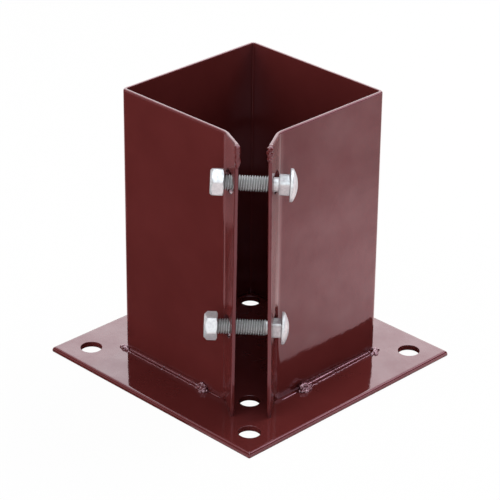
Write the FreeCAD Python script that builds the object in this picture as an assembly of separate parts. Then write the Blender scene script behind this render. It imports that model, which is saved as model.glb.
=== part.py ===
import FreeCAD, Part
import math
import os

# Timber post base: a square plate with a folded sleeve welded on it. The sleeve is one sheet,
# open at its corner towards +X -Y, where two flanges stand out and two loose coach bolts pull
# them together on the post. Millimetres, +Z up, plate sides along X and Y, origin at the centre
# of the plate's underside. Left and right are as seen from outside the open corner.

# Base plate
plate_side = 150.0
plate_thickness = 3.0
plate_corner_radius = 0.8
plate_arris = 0.4
anchor_hole_diameter = 11.5
anchor_hole_inset = 15.0
inner_hole_diameter = 10.8
inner_hole_spacing = 77.0

# Sleeve sheet, and the post that it holds with this much to spare across
post_side = 90.0
post_clearance = 0.5
sheet = 2.0
sleeve_height = 150.0
corner_inside_radius = 1.2

# Open corner: where the flat of each front wall ends, then a bend and a straight flange.
# Each flange's angle off the corner's diagonal differs at the plate and at the top.
wall_stop = 21.5
flange_bend_radius = 9.0
flange_length = 14.5
flange_angles = {"left": (12.3, 19.8), "right": (7.4, 13.8)}
flange_corner_radius = 2.0

# Bolt holes through both flanges: how much wider than the thread, and how far back they lie
flange_hole_clearance = 4.0
flange_hole_setback = 9.0
bolt_heights = {"lower": 50.0, "upper": 130.0}

# Coach bolts and nuts
thread_diameter = 8.0
shank_diameter = 7.1
bolt_length = 38.6
plain_shank = 2.6
tip_chamfer = 0.9
neck_side = 8.0
neck_corner_radius = 1.0
neck_length = 5.4
head_diameter = 16.5
head_height = 3.8
head_rim = 0.7
nut_across_flats = 13.0
nut_thickness = 6.8
nut_chamfer_angle = 30.0
thread_clearance = 0.05
tip_recess = 0.3

# How each bolt hangs in its holes: its head's distance past the diagonal, its drop below the
# holes' centre, its slope down towards the head, and the turns of its neck and its nut in degrees
bolt_hang = {
    "lower": {"overhang": 15.5, "drop": 0.3, "slope": 1.7, "neck_turn": -2.0, "nut_turn": 3.0},
    "upper": {"overhang": 18.4, "drop": 0.8, "slope": 2.2, "neck_turn": 19.0, "nut_turn": 37.4},
}

# Weld along the walls' feet
weld_rise = 1.8
weld_reach = 2.8
weld_bulge = 0.72
weld_lump_radius = 3.0
weld_stop_short = {"left": 12.0, "right": 19.0}
weld_corner_gap = 7.5

# Weld left on the top of the flanges' free edges
edge_weld_radius = 1.7
edge_weld_lengths = {"left": 11.0, "right": 7.0}

# Sizes worked out from the ones above
post_space = post_side + post_clearance
sleeve_half = post_space / 2 + sheet
corner_outside_radius = corner_inside_radius + sheet
wall_end = sleeve_half - wall_stop
flange_hole_diameter = thread_diameter + flange_hole_clearance
sleeve_top = plate_thickness + sleeve_height
Z = FreeCAD.Vector(0, 0, 1)


def vec(x, y, z=0.0):
    return FreeCAD.Vector(x, y, z)


def diagonal(across, out, z=0.0):
    """The point this far across the open corner's diagonal and this far out along it."""
    root = math.sqrt(2.0)
    return vec((across + out) / root, (across - out) / root, z)


def outward(point):
    """How far out along the open corner's diagonal a point lies."""
    return (point.x - point.y) / math.sqrt(2.0)


def other_side(shape):
    """The same piece mirrored across the open corner's diagonal."""
    return shape.mirror(vec(0, 0), vec(1, 1))


def cylinder_between(start, end, radius):
    span = end - start
    return Part.makeCylinder(radius, span.Length, start, span)


def square_prism(side, bottom, height, corner_radius):
    """An upright square prism about the Z axis with rounded upright edges."""
    block = Part.makeBox(side, side, height, vec(-side / 2, -side / 2, bottom))
    uprights = [edge for edge in block.Edges if edge.BoundBox.ZLength > height / 2]
    return block.makeFillet(corner_radius, uprights)


def square_of_points(half):
    return [vec(sx * half, sy * half) for sx in (-1, 1) for sy in (-1, 1)]


def make_base_plate():
    """The plate with its corner anchor holes and the inner holes under the post."""
    plate = square_prism(plate_side, 0.0, plate_thickness, plate_corner_radius)
    rims = [edge for edge in plate.Edges if edge.BoundBox.ZLength < 1e-6]
    plate = plate.makeFillet(plate_arris, rims)
    anchors = square_of_points(plate_side / 2 - anchor_hole_inset)
    inners = square_of_points(inner_hole_spacing / 2)
    for places, diameter in ((anchors, anchor_hole_diameter), (inners, inner_hole_diameter)):
        for foot in places:
            plate = plate.cut(cylinder_between(foot, foot + Z * plate_thickness, diameter / 2))
    return plate


def make_walls():
    """The square tube of sheet, cut open where the two front walls end."""
    outside = square_prism(2 * sleeve_half, plate_thickness, sleeve_height, corner_outside_radius)
    inside = square_prism(post_space, plate_thickness, sleeve_height, corner_inside_radius)
    opening = Part.makeBox(
        wall_stop, wall_stop, sleeve_height, vec(wall_end, -sleeve_half, plate_thickness)
    )
    return outside.cut([inside, opening])


def flange_section(angle, z):
    """The left flange at one height: its closed outline, and the middle of its free edge."""
    turn = math.radians(45.0 - angle)
    centre = vec(wall_end, -sleeve_half - flange_bend_radius, z)

    def on_bend(radius, swing):
        return centre + vec(math.sin(swing), math.cos(swing)) * radius

    along = vec(math.cos(turn), -math.sin(turn)) * flange_length
    near = [on_bend(flange_bend_radius, share * turn) for share in (0.0, 0.5, 1.0)]
    far = [on_bend(flange_bend_radius + sheet, share * turn) for share in (0.0, 0.5, 1.0)]
    near_tip = near[2] + along
    far_tip = far[2] + along
    outline = Part.Wire([
        Part.Arc(near[0], near[1], near[2]).toShape(),
        Part.LineSegment(near[2], near_tip).toShape(),
        Part.LineSegment(near_tip, far_tip).toShape(),
        Part.LineSegment(far_tip, far[2]).toShape(),
        Part.Arc(far[2], far[1], far[0]).toShape(),
        Part.LineSegment(far[0], near[0]).toShape(),
    ])
    return outline, (near_tip + far_tip) * 0.5


def free_edge(side):
    """The foot and the head of a flange's free edge, drawn on the left."""
    at_plate, at_top = flange_angles[side]
    foot = flange_section(at_plate, plate_thickness)[1]
    head = flange_section(at_top, sleeve_top)[1]
    return foot, head


def make_flange(side):
    """A bend and flange, lofted because the sheet is pinched closer at the top than at the plate."""
    at_plate, at_top = flange_angles[side]
    sections = [flange_section(at_plate, plate_thickness)[0], flange_section(at_top, sleeve_top)[0]]
    flange = Part.makeLoft(sections, True, True)
    top_edges = [edge for edge in flange.Edges if edge.BoundBox.ZMin > sleeve_top - 1e-3]
    corner = max(top_edges, key=lambda edge: outward(edge.CenterOfMass))
    flange = flange.makeFillet(flange_corner_radius, [corner])
    return flange if side == "left" else other_side(flange)


def bolt_reach():
    """How far out along the diagonal the flange holes and their bolts lie."""
    outs = [outward(end) for side in flange_angles for end in free_edge(side)]
    return sum(outs) / len(outs) - flange_hole_setback


def make_sleeve():
    """The folded sheet: walls and flanges in one piece, with the bolt holes through the flanges."""
    sleeve = make_walls().fuse([make_flange(side) for side in flange_angles]).removeSplitter()
    for height in bolt_heights.values():
        start = diagonal(-sleeve_half, bolt_reach(), height)
        end = diagonal(sleeve_half, bolt_reach(), height)
        sleeve = sleeve.cut(cylinder_between(start, end, flange_hole_diameter / 2))
    return sleeve


def hang_on_bolt_axis(shape, name, slide, turn):
    """Places a piece drawn along +X: slid along its bolt's axis, turned about it and sloped."""
    hang = bolt_hang[name]
    place = diagonal(0.0, bolt_reach(), bolt_heights[name] - hang["drop"])
    heading = FreeCAD.Rotation(Z, 45.0)
    slope = FreeCAD.Rotation(vec(0, 1), hang["slope"])
    roll = FreeCAD.Rotation(vec(1, 0), turn)
    axis = FreeCAD.Placement(place, heading.multiply(slope).multiply(roll))
    shape.Placement = axis.multiply(FreeCAD.Placement(vec(slide, 0), FreeCAD.Rotation()))
    return shape


def turned_piece(edges):
    """The solid of a closed half profile in X and Y turned about the X axis."""
    return Part.Face(Part.Wire(edges)).revolve(vec(0, 0), vec(1, 0), 360)


def lines_through(points):
    return [Part.LineSegment(a, b).toShape() for a, b in zip(points, points[1:])]


def make_bolt_head():
    """A cup head: flat underside at X = 0, a thin rim and a domed crown."""
    rim = head_diameter / 2
    rise = head_height - head_rim
    dome_radius = (rim ** 2 + rise ** 2) / (2 * rise)
    half_swing = math.asin(rim / dome_radius) / 2
    centre = head_height - dome_radius
    shoulder = vec(centre + dome_radius * math.cos(half_swing), dome_radius * math.sin(half_swing))
    edges = lines_through([vec(head_height, 0), vec(0, 0), vec(0, rim), vec(head_rim, rim)])
    edges.append(Part.Arc(vec(head_rim, rim), shoulder, vec(head_height, 0)).toShape())
    return turned_piece(edges)


def make_coach_bolt(name):
    """A cup head, a square neck, a short plain shank and a thread, drawn towards -X."""
    neck = Part.makeBox(
        neck_length, neck_side, neck_side, vec(-neck_length, -neck_side / 2, -neck_side / 2)
    )
    lengthwise = [edge for edge in neck.Edges if edge.BoundBox.XLength > neck_length / 2]
    neck = neck.makeFillet(neck_corner_radius, lengthwise)
    start = -neck_length - plain_shank
    shank = cylinder_between(vec(0, 0), vec(start, 0), shank_diameter / 2)
    crest = thread_diameter / 2
    tip = -bolt_length
    profile = [vec(start, 0), vec(tip, 0), vec(tip, crest - tip_chamfer), vec(tip + tip_chamfer, crest)]
    thread = turned_piece(lines_through(profile + [vec(start, crest), vec(start, 0)]))
    bolt = make_bolt_head().fuse([neck, shank, thread]).removeSplitter()
    hang = bolt_hang[name]
    return hang_on_bolt_axis(bolt, name, hang["overhang"], hang["neck_turn"])


def make_nut(name):
    """A hexagon nut chamfered on both faces, run on until its outer face is just past the tip."""
    corner = nut_across_flats / math.sqrt(3.0)
    turns = [math.radians(60.0 * k) for k in range(7)]
    ring = [vec(0, corner * math.cos(turn), corner * math.sin(turn)) for turn in turns]
    prism = Part.Face(Part.makePolygon(ring)).extrude(vec(nut_thickness, 0))
    flat = nut_across_flats / 2
    rise = (corner - flat) * math.tan(math.radians(nut_chamfer_angle))
    low = [vec(0, 0), vec(0, flat), vec(rise, corner)]
    high = [vec(nut_thickness - rise, corner), vec(nut_thickness, flat), vec(nut_thickness, 0)]
    chamfered = turned_piece(lines_through(low + high + [vec(0, 0)]))
    bore = cylinder_between(vec(0, 0), vec(nut_thickness, 0), thread_diameter / 2 + thread_clearance)
    nut = prism.common(chamfered).cut(bore)
    hang = bolt_hang[name]
    outer_face = hang["overhang"] - bolt_length - tip_recess
    return hang_on_bolt_axis(nut, name, outer_face, hang["nut_turn"])


def weld_bead(start, end, lumps, sleeve):
    """A convex fillet of weld along a wall's foot, with lumps where the run starts and stops."""
    run = end - start
    away = vec(run.x, run.y).normalize().cross(Z)
    foot = start + Z * plate_thickness
    up = foot + Z * weld_rise
    out = foot + away * weld_reach
    bulge = foot + away * weld_reach * weld_bulge + Z * weld_rise * weld_bulge
    edges = lines_through([out, foot, up])
    edges.append(Part.Arc(up, bulge, out).toShape())
    bead = Part.Face(Part.Wire(edges)).extrude(run)
    balls = [Part.makeSphere(weld_lump_radius, lump + Z * plate_thickness) for lump in lumps]
    depth = 2 * weld_lump_radius
    under = square_prism(plate_side, plate_thickness - depth, depth, plate_corner_radius)
    within = square_prism(post_space + sheet, plate_thickness, depth, corner_inside_radius)
    return bead.fuse(balls).cut([under, within]).cut(sleeve)


def make_front_weld(side, sleeve):
    """From the side corner to a stop short of the bend; drawn on the left."""
    tangent = corner_outside_radius - sleeve_half
    inset = weld_lump_radius / 2 - sleeve_half
    stop = vec(wall_end - weld_stop_short[side], -sleeve_half)
    start = vec(tangent, -sleeve_half)
    if side == "left":
        return weld_bead(start, stop, [vec(inset, inset), stop], sleeve)
    return other_side(weld_bead(start, stop, [vec(inset, inset), stop], other_side(sleeve)))


def make_back_weld(side, sleeve):
    """Along a whole back wall, short of both corners; drawn on the left."""
    end = sleeve_half - weld_corner_gap
    bead = weld_bead(vec(-sleeve_half, end), vec(-sleeve_half, -end), [], sleeve)
    return bead if side == "left" else other_side(bead)


def make_edge_weld(side, sleeve):
    """A short run of weld left on the top of a flange's free edge."""
    foot, head = free_edge(side)
    down = (foot - head).normalize()
    top = head + down * edge_weld_radius
    bottom = head + down * edge_weld_lengths[side]
    bead = cylinder_between(top, bottom, edge_weld_radius)
    bead = bead.fuse([Part.makeSphere(edge_weld_radius, end) for end in (top, bottom)])
    return (bead if side == "left" else other_side(bead)).cut(sleeve)


def main():
    os.makedirs("parts", exist_ok=True)
    sleeve = make_sleeve()
    nodes = {"base_plate": make_base_plate(), "sleeve": sleeve}
    for side in flange_angles:
        nodes["weld_front_" + side] = make_front_weld(side, sleeve)
        nodes["weld_back_" + side] = make_back_weld(side, sleeve)
        nodes["edge_weld_" + side] = make_edge_weld(side, sleeve)
    for name in bolt_heights:
        nodes["coach_bolt_" + name] = make_coach_bolt(name)
        nodes["nut_" + name] = make_nut(name)
    for node, shape in nodes.items():
        shape.exportStep("parts/" + node + ".step")
        print(node, "solids", len(shape.Solids), "valid", shape.isValid(), "volume", round(shape.Volume, 1))


main()
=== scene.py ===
import logging
import math
from dataclasses import dataclass, field
from enum import Enum
from typing import Callable, Sequence

import bmesh
import bpy
import numpy as np
from bpy.types import ID, Material, Node, NodeSocket, NodeTree, Object
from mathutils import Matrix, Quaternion, Vector


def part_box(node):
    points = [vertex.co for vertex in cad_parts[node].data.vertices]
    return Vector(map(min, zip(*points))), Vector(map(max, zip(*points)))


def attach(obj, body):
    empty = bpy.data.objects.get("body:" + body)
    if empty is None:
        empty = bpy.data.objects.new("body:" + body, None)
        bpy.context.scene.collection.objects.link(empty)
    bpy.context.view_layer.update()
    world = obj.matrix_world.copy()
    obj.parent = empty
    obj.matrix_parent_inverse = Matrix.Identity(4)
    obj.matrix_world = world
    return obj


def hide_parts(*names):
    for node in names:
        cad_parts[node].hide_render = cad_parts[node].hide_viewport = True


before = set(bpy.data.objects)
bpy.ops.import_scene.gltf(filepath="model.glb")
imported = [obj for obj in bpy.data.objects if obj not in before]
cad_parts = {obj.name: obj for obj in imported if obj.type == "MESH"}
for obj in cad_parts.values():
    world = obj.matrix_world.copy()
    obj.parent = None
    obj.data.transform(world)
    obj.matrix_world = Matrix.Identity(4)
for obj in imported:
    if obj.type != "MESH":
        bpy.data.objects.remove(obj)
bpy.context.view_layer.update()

# A timber post base: drilled plate, folded and pinched sleeve, welds, and two coach bolts with nuts.
# Lengths in the classes are millimetres. MILLIMETRE turns them into the frame's metres, and NEARLY is
# how close to an edge's line or level still counts as on it.

LOG = logging.getLogger("post_base")
MILLIMETRE = 0.001
ROOT_TWO = math.sqrt(2.0)
MERGE_DISTANCE = 2e-7
PHOTO_SIDE = 500.0
# The bolts' point attribute that masks the painted shade in the thread's roots.
GROOVE_SHADE = "groove_shade"
CELL_STEPS = 16
NEARLY = 0.1

# How each bolt hangs: its slope down towards the head, and the turns of its neck and its nut, in degrees
BOLT_HANG = {"lower": (1.7, -2.0, 3.0), "upper": (2.2, 19.0, 37.4)}

Colour = tuple[float, float, float]
Point = tuple[float, float, float]
Lump = tuple[float, float, float, float]
Roll = tuple[float, float, float, int]
Feed = float | Sequence[float] | NodeSocket


class Side(Enum):
    """The two sides of the open corner's diagonal, as seen from outside it."""

    LEFT = "left"
    RIGHT = "right"


class Skin(Enum):
    """The two faces of a sheet."""

    OUTER = "outer"
    INNER = "inner"


class Slot(Enum):
    """The record's material slots."""

    PAINT = "oxide_paint"
    ZINC = "zinc"


def mirrored(points: np.ndarray) -> np.ndarray:
    """Mirrors points across the open corner's diagonal plane: x and y change places, both negated."""
    return np.stack([-points[:, 1], -points[:, 0], points[:, 2]], axis=1)


def from_diagonal(across: np.ndarray, out: np.ndarray, height: np.ndarray) -> np.ndarray:
    """Turns diagonal coordinates into the frame's: x and y are (across + out) and (across - out) / root 2."""
    return np.stack([(across + out) / ROOT_TWO, (across - out) / ROOT_TWO, height], axis=-1)


def grid_faces(rows: int, columns: int, closed: bool = False) -> np.ndarray:
    """Quads of a grid of points stored row by row.

    Args:
        rows: Number of rows of points.
        columns: Number of points in a row.
        closed: Whether each row's last point joins its first.

    Returns:
        Four point numbers a face.
    """
    row = np.arange(rows - 1)[:, None]
    column = np.arange(columns if closed else columns - 1)[None, :]
    after = (column + 1) % columns
    corners = [row * columns + column, row * columns + after]
    corners += [(row + 1) * columns + after, (row + 1) * columns + column]
    return np.stack([np.broadcast_to(c, (rows - 1, column.size)).ravel() for c in corners], axis=1)


def full_turn(steps: int) -> np.ndarray:
    """Even angles once round, without the last one, which is the first again."""
    return np.linspace(0.0, 2.0 * math.pi, steps, endpoint=False)


def rings(along: np.ndarray, radius: np.ndarray, turn: np.ndarray) -> np.ndarray:
    """Points on rings about the third axis, from their places as a column and turns as a row."""
    points = np.broadcast_arrays(radius * np.cos(turn), radius * np.sin(turn), along)
    return np.stack(points, axis=-1).reshape(-1, 3)


def scene_object(name: str, data: ID) -> Object:
    """Makes an object and puts it in the scene.

    Args:
        name: Its name.
        data: Its mesh, lamp or camera.

    Returns:
        The object.
    """
    made = bpy.data.objects.new(name, data)
    bpy.context.scene.collection.objects.link(made)
    return made


def waves(points: np.ndarray, size: float, seed: int, count: int = 14) -> np.ndarray:
    """Smooth uneven values between about -1 and 1: a sum of sines along scattered directions.

    Args:
        points: Where to read them, one point a row.
        size: The unevenness's usual width, in the points' unit.
        seed: Fixes the directions and phases.
        count: How many sines are added.

    Returns:
        One value a point.
    """
    draw = np.random.default_rng(seed)
    directions = draw.normal(size=(3, count)) * math.pi / size
    phases = draw.uniform(0.0, 2.0 * math.pi, count)
    return np.sin(points @ directions + phases).sum(axis=1) / math.sqrt(count)


@dataclass
class Surface:
    """Points and quads of one or more closed shells, in millimetres."""

    points: np.ndarray
    faces: np.ndarray
    # Each point's share of painted shade, for a thread's roots; None where there is none.
    groove_shade: np.ndarray | None = None

    @staticmethod
    def joined(parts: Sequence["Surface"]) -> "Surface":
        """Puts several surfaces into one, with their faces' numbers moved on.

        Args:
            parts: The surfaces.

        Returns:
            All their shells.
        """
        starts = np.cumsum([0] + [len(part.points) for part in parts[:-1]])
        points = np.concatenate([part.points for part in parts])
        faces = np.concatenate([part.faces + start for part, start in zip(parts, starts)])
        return Surface(points, faces)

    def piece(self, name: str, slot: Slot, finish: Material, nodes: Sequence[str],
              smooth_angle: float = 35.0) -> Object:
        """Makes the piece's object, rides it on the body and lets it stand for its nodes.

        Args:
            name: The piece's name.
            slot: The record's slot that its finish belongs to; not used.
            finish: The material.
            nodes: The nodes that the piece stands for.
            smooth_angle: Edges sharper than this, in degrees, stay crisp.

        Returns:
            The piece.
        """
        mesh = bpy.data.meshes.new(name)
        mesh.from_pydata((self.points * MILLIMETRE).tolist(), [], self.faces.tolist())
        # A thread's painted shade is stored on the mesh as a point attribute.
        if self.groove_shade is not None:
            marks = mesh.attributes.new(GROOVE_SHADE, "FLOAT", "POINT")
            marks.data.foreach_set("value", self.groove_shade.astype(np.float32))
        work = bmesh.new()
        work.from_mesh(mesh)
        bmesh.ops.remove_doubles(work, verts=work.verts, dist=MERGE_DISTANCE)
        bmesh.ops.dissolve_degenerate(work, edges=work.edges, dist=MERGE_DISTANCE)
        bmesh.ops.recalc_face_normals(work, faces=work.faces)
        work.to_mesh(mesh)
        work.free()
        mesh.shade_smooth()
        mesh.set_sharp_from_angle(angle=math.radians(smooth_angle))
        mesh.materials.append(finish)
        piece = scene_object(name, mesh)
        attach(piece, "root")
        if nodes:
            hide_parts(*nodes)
        LOG.info("%s: %d faces, stands for %s", name, len(mesh.polygons), ", ".join(nodes) or "no node")
        return piece


def round_edges(piece: Object, width: float, segments: int,
                share: Callable[[np.ndarray], np.ndarray]) -> None:
    """Gives a piece's sharp edges the soft arris of a painted sheet, and keeps its flats flat.

    The edges marked sharp pass their mark on as a bevel weight, so the shading stays smooth.

    Args:
        piece: The piece.
        width: The arris's full width, in millimetres.
        segments: Steps in the rounding.
        share: Gives each edge's share of the width from its middle point.
    """
    mesh = piece.data
    ends = np.empty(len(mesh.edges) * 2, dtype=np.int32)
    mesh.edges.foreach_get("vertices", ends)
    places = np.empty(len(mesh.vertices) * 3, dtype=np.float32)
    mesh.vertices.foreach_get("co", places)
    marks = np.zeros(len(mesh.edges), dtype=bool)
    mesh.attributes["sharp_edge"].data.foreach_get("value", marks)
    middles = places.reshape(-1, 3)[ends.reshape(-1, 2)].mean(axis=1) / MILLIMETRE
    weight = mesh.attributes.new("bevel_weight_edge", "FLOAT", "EDGE")
    weight.data.foreach_set("value", (share(middles) * marks).astype(np.float32))
    mesh.attributes.remove(mesh.attributes["sharp_edge"])
    bevel = piece.modifiers.new("arris", "BEVEL")
    bevel.width = width * MILLIMETRE
    bevel.segments = segments
    bevel.limit_method = "WEIGHT"
    bevel.use_clamp_overlap = False
    bevel.loop_slide = False
    flats = piece.modifiers.new("flats", "WEIGHTED_NORMAL")
    flats.mode = "FACE_AREA"
    flats.weight = 80


@dataclass(frozen=True)
class Hole:
    """A round hole in a sheet's plan, and the square cell of mesh around it."""

    x: float
    y: float
    radius: float
    reach: float


@dataclass(frozen=True)
class SheetPlan:
    """A flat plan of a sheet: a grid of lines with a ring of mesh around each round hole."""

    columns: np.ndarray
    rows: np.ndarray
    holes: tuple[Hole, ...] = ()
    cell_steps: int = CELL_STEPS
    rings: int = 2

    def around(self, hole: Hole) -> Surface:
        """The mesh between a hole's circle and its square cell.

        Each spoke runs straight from the circle at an even angle to the matching even step along
        the square's four sides.

        Args:
            hole: The hole.

        Returns:
            Plan points, with no height, and quads.
        """
        step = np.linspace(-1.0, 1.0, self.cell_steps + 1)[:-1]
        one = np.ones_like(step)
        sides = [(step, -one), (one, step), (-step, one), (-one, -step)]
        square = np.concatenate([np.stack(side, axis=1) for side in sides])
        turn = np.arange(len(square)) * (2.0 * math.pi / len(square)) - 0.75 * math.pi
        circle = np.stack([np.cos(turn), np.sin(turn)], axis=1)
        share = np.linspace(0.0, 1.0, self.rings + 1)[:, None, None]
        plan = (1.0 - share) * hole.radius * circle + share * hole.reach * square
        plan = plan.reshape(-1, 2) + np.array([hole.x, hole.y])
        return Surface(plan, grid_faces(self.rings + 1, len(square), closed=True))

    def mesh(self) -> Surface:
        """The whole plan: the grid without the cells of its holes, and each hole's ring.

        Returns:
            Plan points, with no height, and quads.
        """
        across, up = np.meshgrid(self.columns, self.rows)
        points = np.stack([across.ravel(), up.ravel()], axis=1)
        faces = grid_faces(len(self.rows), len(self.columns))
        middles = points[faces].mean(axis=1)
        for hole in self.holes:
            away = np.abs(middles - np.array([hole.x, hole.y])).max(axis=1)
            faces, middles = faces[away > hole.reach], middles[away > hole.reach]
        return Surface.joined([Surface(points, faces)] + [self.around(hole) for hole in self.holes])


def closed_sheet(outer: np.ndarray, inner: np.ndarray, faces: np.ndarray) -> Surface:
    """Closes two matching skins into a solid sheet: every free edge gets a face across the sheet.

    Args:
        outer: Points of one skin.
        inner: The matching points of the other skin.
        faces: Quads of one skin; edges that only one face uses are free edges.

    Returns:
        The closed shell.
    """
    first, back = np.unique(np.round(outer, 5), axis=0, return_index=True, return_inverse=True)[1:]
    outer, inner, faces = outer[first], inner[first], back.reshape(-1)[faces]
    edges = np.stack([faces, np.roll(faces, -1, axis=1)], axis=2).reshape(-1, 2)
    index, count = np.unique(np.sort(edges, axis=1), axis=0, return_index=True, return_counts=True)[1:]
    free = edges[index[count == 1]]
    size = len(outer)
    walls = np.stack([free[:, 1], free[:, 0], free[:, 0] + size, free[:, 1] + size], axis=1)
    every = np.concatenate([faces, faces[:, ::-1] + size, walls])
    return Surface(np.concatenate([outer, inner]), every)


def spaced(stops: Sequence[float], counts: Sequence[int]) -> np.ndarray:
    """Even lines from stop to stop, each once; counts gives the steps between two stops."""
    runs = [np.linspace(a, b, n + 1)[:-1] for a, b, n in zip(stops, stops[1:], counts)]
    return np.concatenate(runs + [np.array([stops[-1]])])


@dataclass
class BasePlate:
    """The square plate: flat, with soft painted arrises and eight round holes."""

    anchor_place: float = 60.0
    anchor_radius: float = 5.75
    inner_place: float = 38.5
    inner_radius: float = 5.4
    anchor_reach: float = 8.0
    inner_reach: float = 7.5
    arris: float = 1.8
    under_share: float = 0.5
    hole_share: float = 0.125

    def plan(self, half: float) -> SheetPlan:
        """The plate's plan, with the grid's lines meeting every hole's cell.

        Args:
            half: Half of the plate's side.

        Returns:
            The plan.
        """
        signs = [(sx, sy) for sx in (-1, 1) for sy in (-1, 1)]
        kinds = [(self.anchor_place, self.anchor_radius, self.anchor_reach),
                 (self.inner_place, self.inner_radius, self.inner_reach)]
        holes = [Hole(sx * place, sy * place, radius, reach)
                 for place, radius, reach in kinds for sx, sy in signs]
        stops = [self.inner_place - self.inner_reach, self.inner_place + self.inner_reach]
        stops += [self.anchor_place - self.anchor_reach, self.anchor_place + self.anchor_reach, half]
        both = [-stop for stop in reversed(stops)] + stops
        side = [3, CELL_STEPS, 3, CELL_STEPS]
        lines = spaced(both, side + [20] + side[::-1])
        return SheetPlan(lines, lines, tuple(holes), rings=3)

    def arris_share(self, middles: np.ndarray, half: float, top: float) -> np.ndarray:
        """Each edge's share of the arris: full round the top, less underneath, the least round the holes."""
        outer = np.abs(middles[:, :2]).max(axis=1) > half - NEARLY
        return np.where(outer, np.where(middles[:, 2] > top - NEARLY, 1.0, self.under_share), self.hole_share)

    def build(self, finish: Material) -> None:
        """Makes the plate between its node's underside and top.

        Args:
            finish: The paint.
        """
        low, high = np.array(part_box("base_plate")) / MILLIMETRE
        flat = self.plan(high[0]).mesh()
        top = np.column_stack([flat.points, np.full(len(flat.points), high[2])])
        under = np.column_stack([flat.points, np.full(len(flat.points), low[2])])
        plate = closed_sheet(top, under, flat.faces).piece("plate", Slot.PAINT, finish, ["base_plate"])
        round_edges(plate, self.arris, 6, lambda middles: self.arris_share(middles, high[0], high[2]))


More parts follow.
